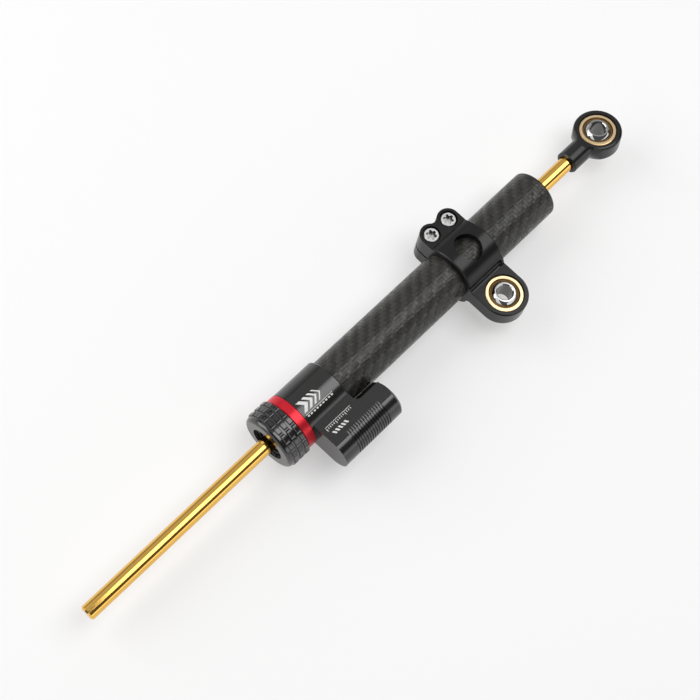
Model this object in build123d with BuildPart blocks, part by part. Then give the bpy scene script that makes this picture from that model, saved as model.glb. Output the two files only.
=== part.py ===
from build123d import *
import math
import os

# Steering damper for a motorbike: a through rod slides in a carbon covered tube, a machined head
# carries the adjuster knob and an oil reservoir, and a clamp and a rod end carry ball joints.
# Millimetres. X runs along the damper from the plain rod tip to the rod end, Z along the bolt of
# the body's ball joint, and the origin is the middle of that ball joint's bore.

os.makedirs("parts", exist_ok=True)

# Fits between pieces
running_gap = 0.04       # radial, between pieces that slide or turn on each other
axial_gap = 0.2          # along X, between a turning piece and its fixed neighbour

# Rod
rod_d = 8.0
rod_tip_x = -249.0       # plain end
rod_tip_chamfer = 0.8
rod_stud_d = 6.0         # threaded end inside the rod end
rod_stud_length = 9.0
stroke_in = 4.5          # travel that pushes more rod out of the plain side
stroke_margin = 0.5      # gap left between piston and bump stop at the end of that travel

# Tube
axis_y = 27.0            # tube axis from the body's ball joint
bore_d = 19.0
liner_wall = 2.0         # aluminium pressure tube
sleeve_wall = 1.55       # carbon sleeve
tube_start_x = -94.8     # where the head ends and the sleeve starts
tube_end_x = 53.5
tube_engagement = 12.0   # depth of the head's socket for the pressure tube

# Head
head_d = 29.2
head_length = 24.1
head_chamfer = 0.5
head_roll = 3.5          # degrees, reservoir lifted towards +Z
head_nose_length = 10.8  # part of the head inside the pressure tube
nose_lip = 1.0
nose_lip_d = 9.2
gland_d = 13.0           # bore for bush, seals and wiper
boss_d = 23.0            # carries the red ring and the back of the knob
boss_length = 9.7
spigot_d = 15.0          # the knob turns on it
spigot_length = 6.6

# Reservoir
reservoir_offset = 23.4  # between tube axis and reservoir axis
reservoir_d = 20.0
reservoir_setback = 1.2  # its left face from the head's left face
reservoir_length = 38.4
reservoir_chamfer = 1.2
reservoir_bore_d = 15.0
reservoir_wall = 6.4     # blind end
web_lip = 6.4            # flat that reaches from the reservoir axis towards the tube
web_corner_r = 3.0
web_crease_r = 3.2       # hollow between web and round head
web_drop = 0.34          # the flat web lies this far below the reservoir's full height
rib_count = 15
rib_pitch = 1.47
rib_first = 9.1          # middle of the first groove from the reservoir's left face
rib_width = 0.8
rib_depth = 0.5
rib_start = 0.3          # the grooves start this far outside the reservoir axis

# Red ring and knob
ring_width = 5.2
ring_d = 29.6
ring_edge = 0.4
knob_length = 12.5
knob_d = 31.5
knob_nose_d = 30.0
knob_nose_r = 1.9
knob_groove_d = 29.8
knob_row_count = 3
knob_row_pitch = 3.6
knob_row_width = 2.3
knob_row_edge = 0.25
knob_recess_d = 18.0
knob_recess_depth = 3.1
knob_web = 1.5
knob_cavity_d = 23.2
flute_count = 20
flute_phase = 15.0       # degrees, first flute from +Y
flute_r = 0.95
flute_depth = 0.75
click_count = 24
click_r = 0.6

# Adjuster parts
nut_width = 2.2
nut_gap = 0.6            # between nut and head boss in the stored pose
needle_d = 2.4
needle_offset = 9.35     # from the tube axis, on the reservoir side
needle_length = 17.0
needle_cone = 2.0
needle_travel = 0.6
needle_groove_x = 4.5    # seal groove from the nut's right face
needle_groove_width = 1.2
needle_groove_depth = 0.5
needle_seat_d = 1.2
detent_ball_d = 3.0
detent_proud = 0.5
detent_pocket = 4.2      # depth of the spring's hole in the boss
detent_wire_d = 0.35
detent_turns = 2.0
detent_setback = 2.1     # ball centre from the knob's right face

# Clamp
clamp_width = 24.4
clamp_wall = 3.95
clamp_edge = 0.6
lug_thickness = 10.0
lug_edge = 0.5
scoop_r = 3.0
scoop_run = 8.0          # end of the groove's straight part
scoop_inset = 0.3
window_length = 12.8     # along X
window_width = 15.4      # along Y
ear_top = 11.5
ear_bottom = 8.6
ear_edge = 0.4
ear_screw_y = 17.9       # from the tube axis
ear_lobe_r = 6.0
ear_valley_r = 3.5       # hollow between the lobes
slit = 1.2
screw_d = 5.0
screw_head_d = 8.4
screw_head_height = 5.0
screw_sink = 0.3
screw_edge = 0.6
screw_star_d = 5.6       # six-lobed socket, tip to tip
screw_star_root_d = 4.0
screw_star_lobe_r = 0.75
screw_key_depth = 2.4
screw_tip_gap = 0.4
counterbore_d = 9.2
screw_clearance_d = 5.5

# Ball joints, the same at both ends
joint_bore_d = 8.0
joint_ball_d = 15.9
joint_ball_width = 12.0
joint_ball_chamfer = 0.45
joint_race_d = 20.0
joint_race_width = 9.0
joint_race_chamfer = 1.0
joint_race_edge = 0.8    # radius of its outer rims
joint_liner_wall = 0.28
joint_liner_width = 7.6

# Rod end
rod_end_x = 104.5
rod_end_roll = 8.4       # degrees, top of the eye tilted towards +Y
rod_end_d = 25.4
rod_end_thickness = 10.0
rod_end_edge = 1.5
neck_d = 12.2
neck_edge = 0.5
neck_mouth_x = 80.0
neck_blend_r = 5.0
neck_root = 11.4         # width of the flat root between neck and eye
neck_face_r = 14.2       # reach of the milled faces from the middle of the eye
neck_socket_d = 8.7
neck_socket_depth = 3.6

# Piston, bump stops and circlips
piston_length = 12.0
piston_clearance = 0.3
band_width = 6.0
band_depth = 0.9
port_count = 4
port_d = 2.0
port_ring_d = 13.4
shim_radii = (7.5, 6.6, 5.8)
shim_thickness = 0.3
circlip_thickness = 1.0
circlip_depth = 0.5      # groove depth in the shaft
circlip_rim = 0.9        # ring standing out of its groove
circlip_gap = 2.6        # opening between the ends
circlip_ear_r = 0.85
circlip_ear_out = 0.9    # middle of the eyes from the groove's floor
circlip_eye_d = 0.7
bump_thickness = 3.0
bump_d = 15.0

# Seals and end cap
bush_length = 12.0
rear_bush_length = 8.0
seal_length = 5.0
wiper_length = 4.0
seal_gap = 0.2
cap_flange = 1.7
cap_edge = 1.4
cap_plug_length = 17.5
oring_wire = 1.6
oring_squeeze = 0.2
cap_oring_setback = 4.0

# Pieces inside the reservoir
float_length = 7.0
float_start = 7.0        # from the blind end in the stored pose
float_face = 3.6
float_skirt_wall = 2.2
float_ring_width = 2.0
float_ring_depth = 1.2
float_ring_x = 0.9       # ring groove from the piston's left face
reservoir_cap_length = 6.3
reservoir_oring_setback = 3.6
cap_pin_hole_d = 2.0
cap_pin_depth = 2.5
cap_pin_spacing = 11.0
valve_d = 4.0
valve_head_d = 6.4
valve_head_height = 1.6
valve_length = 5.0
valve_key = 2.5
valve_key_depth = 1.1
oil_port_d = 1.6
oil_port_x = 14.0        # cross port from the nose's right face
oil_port_offset = 8.0    # long port from the tube axis

# Radii and places worked out from the sizes above
rod_r = rod_d / 2
bore_r = bore_d / 2
liner_r = bore_r + liner_wall
tube_r = liner_r + sleeve_wall
head_r = head_d / 2
boss_r = boss_d / 2
spigot_r = spigot_d / 2
gland_r = gland_d / 2
lip_r = nose_lip_d / 2
reservoir_r = reservoir_d / 2
reservoir_bore_r = reservoir_bore_d / 2
clamp_r = tube_r + clamp_wall
clamp_half = clamp_width / 2
seal_wall_r = rod_r + running_gap
joint_sphere_r = joint_ball_d / 2
liner_inner_r = joint_sphere_r + running_gap
liner_outer_r = liner_inner_r + joint_liner_wall

head_right_x = tube_start_x
head_left_x = head_right_x - head_length
socket_x = head_right_x - tube_engagement
nose_x = socket_x + head_nose_length
boss_left_x = head_left_x - boss_length
spigot_left_x = boss_left_x - spigot_length
ring_left_x = head_left_x - ring_width
knob_right_x = ring_left_x - axial_gap
knob_left_x = knob_right_x - knob_length
recess_x = knob_left_x + knob_recess_depth
cavity_x = recess_x + knob_web
clip_right_x = recess_x - axial_gap / 2
clip_left_x = clip_right_x - circlip_thickness
liner_left_x = socket_x + oring_wire
cap_right_x = tube_end_x + cap_flange
cap_inner_x = tube_end_x - cap_plug_length
reservoir_left_x = head_left_x + reservoir_setback
reservoir_right_x = reservoir_left_x + reservoir_length
reservoir_bore_x = reservoir_left_x + reservoir_wall
neck_stop_x = neck_mouth_x + neck_socket_depth
rod_shoulder_x = neck_stop_x - axial_gap
shim_stack = len(shim_radii) * shim_thickness
piston_stop_x = nose_x + bump_thickness + stroke_margin + stroke_in
piston_left_x = piston_stop_x + circlip_thickness + shim_stack
piston_right_x = piston_left_x + piston_length

roll = math.radians(head_roll)
reservoir_y = axis_y - reservoir_offset * math.cos(roll)
reservoir_z = reservoir_offset * math.sin(roll)
eye_tilt = math.radians(rod_end_roll)

main_axis = Axis((0, axis_y, 0), (1, 0, 0))
main_side = Plane(origin=(0, axis_y, 0), x_dir=(1, 0, 0), z_dir=(0, -1, 0))
reservoir_axis = Axis((0, reservoir_y, reservoir_z), (1, 0, 0))
reservoir_side = Plane(
    origin=(0, reservoir_y, reservoir_z), x_dir=(1, 0, 0), z_dir=(0, -1, 0)
)
head_plan = Plane(
    origin=(0, axis_y, 0), x_dir=(1, 0, 0), z_dir=(0, math.sin(roll), math.cos(roll))
)
body_joint_plane = Plane.XY
rod_joint_plane = Plane(
    origin=(rod_end_x, axis_y, 0),
    x_dir=(1, 0, 0),
    z_dir=(0, math.sin(eye_tilt), math.cos(eye_tilt)),
)


def cross_plane(x):
    """Plane square to the tube axis at x; its x is +Y and its y is +Z."""
    return Plane(origin=(x, axis_y, 0), x_dir=(0, 1, 0), z_dir=(1, 0, 0))


def head_cross_plane(x):
    """Plane square to the tube axis at x; its x points from the tube to the reservoir."""
    toward_reservoir = (0, -math.cos(roll), math.sin(roll))
    return Plane(origin=(x, axis_y, 0), x_dir=toward_reservoir, z_dir=(1, 0, 0))


def turned_ring(side, axis, x_start, x_end, r_inner, r_outer):
    """Plain ring turned about an axis along X."""
    with BuildPart() as ring:
        with BuildSketch(side):
            with Locations(((x_start + x_end) / 2, (r_inner + r_outer) / 2)):
                Rectangle(x_end - x_start, r_outer - r_inner)
        revolve(axis=axis)
    return ring


def squeezed_oring(side, axis, x_start, x_end, r_inner, r_outer):
    """O-ring flattened to the room it has between the walls it seals."""
    with BuildPart() as oring:
        with BuildSketch(side):
            with Locations(((x_start + x_end) / 2, (r_inner + r_outer) / 2)):
                Ellipse((x_end - x_start) / 2, (r_outer - r_inner) / 2)
        revolve(axis=axis)
    return oring


def shaft_circlip(x, r_groove, ear_side):
    """Circlip for a shaft on the tube axis, its gap and eyes facing ear_side (+1 is +Y)."""
    r_inner = r_groove
    r_outer = r_groove + circlip_depth + circlip_rim
    ear_y = circlip_gap / 2 + circlip_ear_r
    ear_x = ear_side * math.sqrt((r_groove + circlip_ear_out) ** 2 - ear_y ** 2)
    with BuildPart() as clip:
        with BuildSketch(cross_plane(x)):
            Circle(r_outer)
            with Locations((ear_x, ear_y), (ear_x, -ear_y)):
                Circle(circlip_ear_r)
            Circle(r_inner, mode=Mode.SUBTRACT)
            with Locations((ear_side * r_outer, 0)):
                Rectangle(2 * r_outer, circlip_gap, mode=Mode.SUBTRACT)
            with Locations((ear_x, ear_y), (ear_x, -ear_y)):
                Circle(circlip_eye_d / 2, mode=Mode.SUBTRACT)
        extrude(amount=circlip_thickness)
    return clip


# Head block: tube socket, gland bore, boss, spigot, web and reservoir body in one piece
lip_y = reservoir_offset - web_lip
web_half = reservoir_r - web_drop
crown_half = math.sqrt(reservoir_r ** 2 - web_half ** 2)
crease_high = web_half + web_crease_r
crease_flat = math.sqrt((head_r + web_crease_r) ** 2 - crease_high ** 2)
lip_end_x = reservoir_right_x - reservoir_chamfer
corner_in = web_corner_r * (1 - math.sqrt(0.5))
groove_planes = [
    head_cross_plane(reservoir_left_x + rib_first - rib_width / 2 + i * rib_pitch)
    for i in range(rib_count)
]
detent_x = knob_right_x - detent_setback
detent_hole_r = detent_ball_d / 2 + running_gap
detent_seat_z = boss_r - detent_pocket
needle_r = needle_d / 2
nut_right_x = boss_left_x - nut_gap
nut_left_x = nut_right_x - nut_width
needle_hole_end_x = nut_right_x + needle_length + needle_travel
cross_port_x = nose_x - oil_port_x

with BuildPart() as head_block:
    with BuildSketch(main_side):
        with BuildLine():
            Polyline(
                (spigot_left_x, 0),
                (spigot_left_x, spigot_r),
                (boss_left_x, spigot_r),
                (boss_left_x, boss_r),
                (head_left_x, boss_r),
                (head_left_x, head_r),
                (head_right_x - head_chamfer, head_r),
                (head_right_x, head_r - head_chamfer),
                (head_right_x, 0),
                close=True,
            )
        make_face()
    revolve(axis=main_axis)
    with BuildSketch(reservoir_side):
        with BuildLine():
            Polyline(
                (reservoir_left_x, 0),
                (reservoir_left_x, reservoir_r),
                (lip_end_x, reservoir_r),
                (reservoir_right_x, reservoir_r - reservoir_chamfer),
                (reservoir_right_x, 0),
                close=True,
            )
        make_face()
    revolve(axis=reservoir_axis)
    # The round reservoir milled down to the web's flats above and below
    with BuildSketch(head_plan.offset(web_half), head_plan.offset(-web_half - 2 * web_drop)):
        with Locations((reservoir_left_x + reservoir_length / 2, -reservoir_offset)):
            Rectangle(reservoir_length + 2, 3 * crown_half)
    extrude(amount=2 * web_drop, mode=Mode.SUBTRACT)
    # Flat web from the head to the reservoir, with a rounded corner beside the tube
    with BuildSketch(head_plan):
        with BuildLine():
            Polyline(
                (head_right_x + web_corner_r, -lip_y),
                (lip_end_x, -lip_y),
                (lip_end_x, -reservoir_offset),
                (reservoir_left_x, -reservoir_offset),
                (reservoir_left_x, 0),
                (head_right_x, 0),
                (head_right_x, -lip_y + web_corner_r),
            )
            ThreePointArc(
                (head_right_x, -lip_y + web_corner_r),
                (head_right_x + corner_in, -lip_y + corner_in),
                (head_right_x + web_corner_r, -lip_y),
            )
        make_face()
    extrude(amount=web_half, both=True)
    # Hollow where the flat web runs into the round head
    with BuildSketch(head_cross_plane(reservoir_left_x)):
        with BuildLine():
            Polyline((0, 0), (crease_flat, web_half), (crease_flat, -web_half), close=True)
        make_face()
        with Locations((crease_flat, crease_high), (crease_flat, -crease_high)):
            Circle(web_crease_r, mode=Mode.SUBTRACT)
    extrude(amount=head_right_x - reservoir_left_x)
    # Cooling grooves round the outer half of the reservoir
    with BuildSketch(*groove_planes):
        with Locations((reservoir_offset, 0)):
            Circle(reservoir_r + rib_depth)
            Circle(reservoir_r - rib_depth, mode=Mode.SUBTRACT)
        with Locations((reservoir_offset + rib_start + reservoir_d, 0)):
            Rectangle(2 * reservoir_d, 2 * reservoir_d, mode=Mode.INTERSECT)
    extrude(amount=rib_width, mode=Mode.SUBTRACT)
    # Socket for the pressure tube, left open round the nose
    with BuildSketch(cross_plane(nose_x)):
        Circle(liner_r)
    extrude(amount=head_right_x - nose_x, mode=Mode.SUBTRACT)
    with BuildSketch(cross_plane(socket_x)):
        Circle(liner_r)
        Circle(bore_r, mode=Mode.SUBTRACT)
    extrude(amount=nose_x - socket_x, mode=Mode.SUBTRACT)
    # Gland bore for bush, seals and wiper, stopped by the lip
    with BuildSketch(cross_plane(spigot_left_x)):
        Circle(gland_r)
    extrude(amount=nose_x - nose_lip - spigot_left_x, mode=Mode.SUBTRACT)
    with BuildSketch(cross_plane(nose_x - nose_lip)):
        Circle(lip_r)
    extrude(amount=nose_lip, mode=Mode.SUBTRACT)
    # Circlip groove in the spigot
    with BuildSketch(cross_plane(clip_left_x)):
        Circle(spigot_r)
        Circle(spigot_r - circlip_depth, mode=Mode.SUBTRACT)
    extrude(amount=circlip_thickness, mode=Mode.SUBTRACT)
    # Reservoir bore
    with BuildSketch(head_cross_plane(reservoir_bore_x)):
        with Locations((reservoir_offset, 0)):
            Circle(reservoir_bore_r)
    extrude(amount=reservoir_length, mode=Mode.SUBTRACT)
    # Needle hole and its seat
    with BuildSketch(head_cross_plane(boss_left_x)):
        with Locations((needle_offset, 0)):
            Circle(needle_r + running_gap)
    extrude(amount=needle_hole_end_x - boss_left_x, mode=Mode.SUBTRACT)
    with BuildSketch(head_cross_plane(needle_hole_end_x)):
        with Locations((needle_offset, 0)):
            Circle(needle_seat_d / 2)
    extrude(amount=cross_port_x - needle_hole_end_x, mode=Mode.SUBTRACT)
    # Oil ports: along the nose, then across to the reservoir
    with BuildSketch(head_cross_plane(cross_port_x)):
        with Locations((oil_port_offset, 0)):
            Circle(oil_port_d / 2)
    extrude(amount=oil_port_x, mode=Mode.SUBTRACT)
    cross_port_plane = Plane(
        origin=(cross_port_x, axis_y, 0),
        x_dir=(1, 0, 0),
        z_dir=(0, -math.cos(roll), math.sin(roll)),
    )
    with BuildSketch(cross_port_plane.offset(oil_port_offset)):
        Circle(oil_port_d / 2)
    extrude(amount=reservoir_offset - reservoir_bore_r - oil_port_offset + 1, mode=Mode.SUBTRACT)
    # Hole for the click spring and ball
    with BuildSketch(Plane(origin=(detent_x, axis_y, detent_seat_z), z_dir=(0, 0, 1))):
        Circle(detent_hole_r)
    extrude(amount=detent_pocket + 1, mode=Mode.SUBTRACT)
head_block.part.label = "head_block"
export_step(head_block.part, "parts/head_block.step")

# Red anodised ring between knob and head
ring_r = ring_d / 2
with BuildPart() as red_ring:
    with BuildSketch(main_side):
        with BuildLine():
            Polyline(
                (ring_left_x, boss_r),
                (ring_left_x, ring_r - ring_edge),
                (ring_left_x + ring_edge, ring_r),
                (head_left_x - ring_edge, ring_r),
                (head_left_x, ring_r - ring_edge),
                (head_left_x, boss_r),
                close=True,
            )
        make_face()
    revolve(axis=main_axis)
red_ring.part.label = "red_ring"
export_step(red_ring.part, "parts/red_ring.step")

# Adjuster knob: rounded nose, three fluted rows, recess in front, cavity for the nut behind
knob_r = knob_d / 2
nose_ring_r = knob_nose_d / 2
groove_r = knob_groove_d / 2
knob_bore_r = spigot_r + running_gap
knob_cavity_r = knob_cavity_d / 2
first_row_x = knob_right_x - (knob_row_count - 1) * knob_row_pitch - knob_row_width
ball_groove_r = boss_r + detent_proud + axial_gap / 2
ball_groove_half = detent_ball_d / 2 + running_gap
nose_arc = knob_nose_r * (1 - math.sqrt(0.5))

with BuildPart() as adjuster_knob:
    with BuildSketch(main_side):
        with BuildLine():
            Polyline(
                (knob_left_x + knob_nose_r, nose_ring_r),
                (first_row_x, nose_ring_r),
                (first_row_x, groove_r),
                (knob_right_x, groove_r),
                (knob_right_x, knob_cavity_r),
                (cavity_x, knob_cavity_r),
                (cavity_x, knob_bore_r),
                (recess_x, knob_bore_r),
                (recess_x, knob_recess_d / 2),
                (knob_left_x, knob_recess_d / 2),
                (knob_left_x, nose_ring_r - knob_nose_r),
            )
            ThreePointArc(
                (knob_left_x, nose_ring_r - knob_nose_r),
                (knob_left_x + nose_arc, nose_ring_r - nose_arc),
                (knob_left_x + knob_nose_r, nose_ring_r),
            )
        make_face()
        for i in range(knob_row_count):
            row_x = first_row_x + i * knob_row_pitch
            with BuildLine():
                Polyline(
                    (row_x, groove_r - knob_row_edge),
                    (row_x, knob_r - knob_row_edge),
                    (row_x + knob_row_edge, knob_r),
                    (row_x + knob_row_width - knob_row_edge, knob_r),
                    (row_x + knob_row_width, knob_r - knob_row_edge),
                    (row_x + knob_row_width, groove_r - knob_row_edge),
                    close=True,
                )
            make_face()
    revolve(axis=main_axis)
    with BuildSketch(cross_plane(first_row_x)):
        with PolarLocations(knob_r - flute_depth + flute_r, flute_count, flute_phase):
            Circle(flute_r)
    extrude(amount=knob_right_x - first_row_x, mode=Mode.SUBTRACT)
    # Groove for the click ball, with a pocket for each click
    with BuildSketch(cross_plane(detent_x - ball_groove_half)):
        Circle(ball_groove_r)
        with PolarLocations(ball_groove_r, click_count):
            Circle(click_r)
    extrude(amount=2 * ball_groove_half, mode=Mode.SUBTRACT)
adjuster_knob.part.label = "adjuster_knob"
export_step(adjuster_knob.part, "parts/adjuster_knob.step")

# Circlip that keeps the knob on the spigot
knob_circlip = shaft_circlip(clip_left_x, spigot_r - circlip_depth, 1)
knob_circlip.part.label = "knob_circlip"
export_step(knob_circlip.part, "parts/knob_circlip.step")

# Adjuster nut: screwed into the knob, held from turning by the needle, so it moves along X
with BuildPart() as adjuster_nut:
    with BuildSketch(head_cross_plane(nut_left_x)):
        Circle(knob_cavity_r - running_gap)
        Circle(spigot_r + running_gap, mode=Mode.SUBTRACT)
        with Locations((needle_offset, 0)):
            Circle(needle_r, mode=Mode.SUBTRACT)
    extrude(amount=nut_width)
adjuster_nut.part.label = "adjuster_nut"
export_step(adjuster_nut.part, "parts/adjuster_nut.step")

# Metering needle, riveted in the nut, with a cone that closes the seat
needle_seal_x = nut_right_x + needle_groove_x
with BuildPart() as metering_needle:
    with BuildSketch(head_cross_plane(nut_left_x)):
        with Locations((needle_offset, 0)):
            Circle(needle_r)
    extrude(amount=nut_width + needle_length)
    tip_edge = metering_needle.faces().sort_by(Axis.X)[-1].edges()
    chamfer(tip_edge, length=needle_cone, length2=needle_r * 0.8)
    with BuildSketch(head_cross_plane(needle_seal_x)):
        with Locations((needle_offset, 0)):
            Circle(needle_r)
            Circle(needle_r - needle_groove_depth, mode=Mode.SUBTRACT)
    extrude(amount=needle_groove_width, mode=Mode.SUBTRACT)
metering_needle.part.label = "metering_needle"
export_step(metering_needle.part, "parts/metering_needle.step")

# Seal ring in the needle's groove
with BuildPart() as needle_seal:
    with BuildSketch(head_cross_plane(needle_seal_x)):
        with Locations((needle_offset, 0)):
            Circle(needle_r)
            Circle(needle_r - needle_groove_depth, mode=Mode.SUBTRACT)
    extrude(amount=needle_groove_width)
needle_seal.part.label = "needle_seal"
export_step(needle_seal.part, "parts/needle_seal.step")

# Click ball
detent_ball_z = boss_r + detent_proud - detent_ball_d / 2
with BuildPart(Plane(origin=(detent_x, axis_y, detent_ball_z), z_dir=(0, 0, 1))) as detent_ball:
    Sphere(detent_ball_d / 2)
detent_ball.part.label = "detent_ball"
export_step(detent_ball.part, "parts/detent_ball.step")

# Click spring, a short coil under the ball
detent_coil_r = detent_ball_d / 2 - detent_wire_d
detent_coil_low = detent_seat_z + detent_wire_d / 2
detent_coil_top = detent_ball_z - math.sqrt(
    (detent_ball_d / 2 + detent_wire_d / 2) ** 2 - detent_coil_r ** 2
)
detent_height = detent_coil_top - detent_coil_low - axial_gap / 4
with BuildPart() as detent_spring:
    with BuildLine(Plane(origin=(detent_x, axis_y, detent_coil_low), z_dir=(0, 0, 1))):
        coil = Helix(detent_height / detent_turns, detent_height, detent_coil_r)
    with BuildSketch(Plane(origin=coil @ 0, z_dir=coil % 0)):
        Circle(detent_wire_d / 2)
    sweep(path=coil)
detent_spring.part.label = "detent_spring"
export_step(detent_spring.part, "parts/detent_spring.step")

# Pressure tube
pressure_tube = turned_ring(main_side, main_axis, liner_left_x, tube_end_x, bore_r, liner_r)
pressure_tube.part.label = "pressure_tube"
export_step(pressure_tube.part, "parts/pressure_tube.step")

# O-ring at the bottom of the head's socket
tube_oring = squeezed_oring(
    main_side,
    main_axis,
    socket_x,
    liner_left_x,
    bore_r + oring_squeeze / 2,
    liner_r - oring_squeeze / 2,
)
tube_oring.part.label = "tube_oring"
export_step(tube_oring.part, "parts/tube_oring.step")

# Carbon sleeve
carbon_sleeve = turned_ring(main_side, main_axis, head_right_x, tube_end_x, liner_r, tube_r)
carbon_sleeve.part.label = "carbon_sleeve"
export_step(carbon_sleeve.part, "parts/carbon_sleeve.step")

# End cap with the rear gland
cap_oring_x = cap_inner_x + cap_oring_setback
oring_floor_r = bore_r - (oring_wire - oring_squeeze)
oring_half = (oring_wire + oring_squeeze) / 2
with BuildPart() as end_cap:
    with BuildSketch(main_side):
        with BuildLine():
            Polyline(
                (cap_inner_x, lip_r),
                (cap_inner_x, bore_r),
                (tube_end_x, bore_r),
                (tube_end_x, tube_r),
                (cap_right_x, tube_r),
                (cap_right_x, gland_r),
                (cap_inner_x + nose_lip, gland_r),
                (cap_inner_x + nose_lip, lip_r),
                close=True,
            )
        make_face()
        with Locations((cap_oring_x, bore_r)):
            Rectangle(2 * oring_half, 2 * (bore_r - oring_floor_r), mode=Mode.SUBTRACT)
    revolve(axis=main_axis)
    rim = end_cap.edges().filter_by(GeomType.CIRCLE).group_by(Axis.X)[-1]
    fillet(rim.sort_by(SortBy.RADIUS)[-1], cap_edge)
end_cap.part.label = "end_cap"
export_step(end_cap.part, "parts/end_cap.step")

cap_oring = squeezed_oring(
    main_side,
    main_axis,
    cap_oring_x - oring_half,
    cap_oring_x + oring_half,
    oring_floor_r,
    bore_r,
)
cap_oring.part.label = "cap_oring"
export_step(cap_oring.part, "parts/cap_oring.step")

# Front gland, from the lip outwards: bush, rod seal, spacer, wiper
bush_right_x = nose_x - nose_lip
bush_left_x = bush_right_x - bush_length
seal_right_x = bush_left_x - seal_gap
seal_left_x = seal_right_x - seal_length
wiper_left_x = spigot_left_x + seal_gap
wiper_right_x = wiper_left_x + wiper_length

front_bush = turned_ring(
    main_side, main_axis, bush_left_x, bush_right_x, seal_wall_r, gland_r
)
front_bush.part.label = "front_bush"
export_step(front_bush.part, "parts/front_bush.step")

front_seal = turned_ring(
    main_side, main_axis, seal_left_x, seal_right_x, seal_wall_r, gland_r
)
front_seal.part.label = "front_seal"
export_step(front_seal.part, "parts/front_seal.step")

front_spacer = turned_ring(
    main_side, main_axis, wiper_right_x, seal_left_x, rod_r + axial_gap, gland_r
)
front_spacer.part.label = "front_spacer"
export_step(front_spacer.part, "parts/front_spacer.step")


def rod_wiper(x_inner, x_outer):
    """Dust wiper: a ring with a thin lip that leans out along the rod."""
    lean = x_outer - x_inner
    with BuildPart() as wiper:
        with BuildSketch(main_side):
            with BuildLine():
                Polyline(
                    (x_inner, seal_wall_r),
                    (x_inner, gland_r),
                    (x_inner + 0.7 * lean, gland_r),
                    (x_inner + 0.7 * lean, rod_r + 0.45 * (gland_r - rod_r)),
                    (x_outer, rod_r + 0.25 * (gland_r - rod_r)),
                    (x_outer, seal_wall_r),
                    close=True,
                )
            make_face()
        revolve(axis=main_axis)
    return wiper


front_wiper = rod_wiper(wiper_right_x, wiper_left_x)
front_wiper.part.label = "front_wiper"
export_step(front_wiper.part, "parts/front_wiper.step")

# Rear gland, from the lip outwards: bush, rod seal, wiper
rear_bush_x = cap_inner_x + nose_lip
rear_seal_x = rear_bush_x + rear_bush_length + seal_gap
rear_wiper_x = rear_seal_x + seal_length + seal_gap

rear_bush = turned_ring(
    main_side, main_axis, rear_bush_x, rear_bush_x + rear_bush_length, seal_wall_r, gland_r
)
rear_bush.part.label = "rear_bush"
export_step(rear_bush.part, "parts/rear_bush.step")

rear_seal = turned_ring(
    main_side, main_axis, rear_seal_x, rear_seal_x + seal_length, seal_wall_r, gland_r
)
rear_seal.part.label = "rear_seal"
export_step(rear_seal.part, "parts/rear_seal.step")

rear_wiper = rod_wiper(rear_wiper_x, rear_wiper_x + wiper_length)
rear_wiper.part.label = "rear_wiper"
export_step(rear_wiper.part, "parts/rear_wiper.step")

# Rubber bump stops at both ends of the oil chamber
with BuildPart() as bump_stops:
    with BuildSketch(cross_plane(nose_x), cross_plane(cap_inner_x - bump_thickness)):
        Circle(bump_d / 2)
        Circle(lip_r, mode=Mode.SUBTRACT)
    extrude(amount=bump_thickness)
bump_stops.part.label = "bump_stops"
export_step(bump_stops.part, "parts/bump_stops.step")

# Rod: plain tip, two circlip grooves for the piston, threaded stud at the rod end
left_clip_x = piston_left_x - shim_stack - circlip_thickness
right_clip_x = piston_right_x + shim_stack
stud_r = rod_stud_d / 2
rod_groove_r = rod_r - circlip_depth
with BuildPart() as piston_rod:
    with BuildSketch(main_side):
        with BuildLine():
            Polyline(
                (rod_tip_x, 0),
                (rod_tip_x, rod_r - rod_tip_chamfer),
                (rod_tip_x + rod_tip_chamfer, rod_r),
                (rod_shoulder_x, rod_r),
                (rod_shoulder_x, stud_r),
                (rod_shoulder_x + rod_stud_length, stud_r),
                (rod_shoulder_x + rod_stud_length, 0),
                close=True,
            )
        make_face()
        for groove_x in (left_clip_x, right_clip_x):
            with Locations((groove_x + circlip_thickness / 2, rod_r)):
                Rectangle(circlip_thickness, 2 * circlip_depth, mode=Mode.SUBTRACT)
    revolve(axis=main_axis)
piston_rod.part.label = "piston_rod"
export_step(piston_rod.part, "parts/piston_rod.step")

# Piston with flow ports and a groove for its guide band
piston_r = bore_r - piston_clearance
band_floor_r = piston_r - band_depth
piston_middle_x = (piston_left_x + piston_right_x) / 2
with BuildPart() as piston:
    with BuildSketch(main_side):
        with Locations((piston_middle_x, (rod_r + piston_r) / 2)):
            Rectangle(piston_length, piston_r - rod_r)
        with Locations((piston_middle_x, piston_r)):
            Rectangle(band_width, 2 * band_depth, mode=Mode.SUBTRACT)
    revolve(axis=main_axis)
    with BuildSketch(cross_plane(piston_left_x)):
        with PolarLocations(port_ring_d / 2, port_count):
            Circle(port_d / 2)
    extrude(amount=piston_length, mode=Mode.SUBTRACT)
piston.part.label = "piston"
export_step(piston.part, "parts/piston.step")

piston_band = turned_ring(
    main_side,
    main_axis,
    piston_middle_x - band_width / 2,
    piston_middle_x + band_width / 2,
    band_floor_r,
    bore_r - running_gap,
)
piston_band.part.label = "piston_band"
export_step(piston_band.part, "parts/piston_band.step")

# Stacks of thin steel discs over the ports on both sides of the piston
with BuildPart() as piston_shims:
    for i, shim_r in enumerate(shim_radii):
        left_x = piston_left_x - (i + 1) * shim_thickness
        right_x = piston_right_x + i * shim_thickness
        with BuildSketch(cross_plane(left_x), cross_plane(right_x)):
            Circle(shim_r)
            Circle(rod_r, mode=Mode.SUBTRACT)
        extrude(amount=shim_thickness)
piston_shims.part.label = "piston_shims"
export_step(piston_shims.part, "parts/piston_shims.step")

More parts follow.
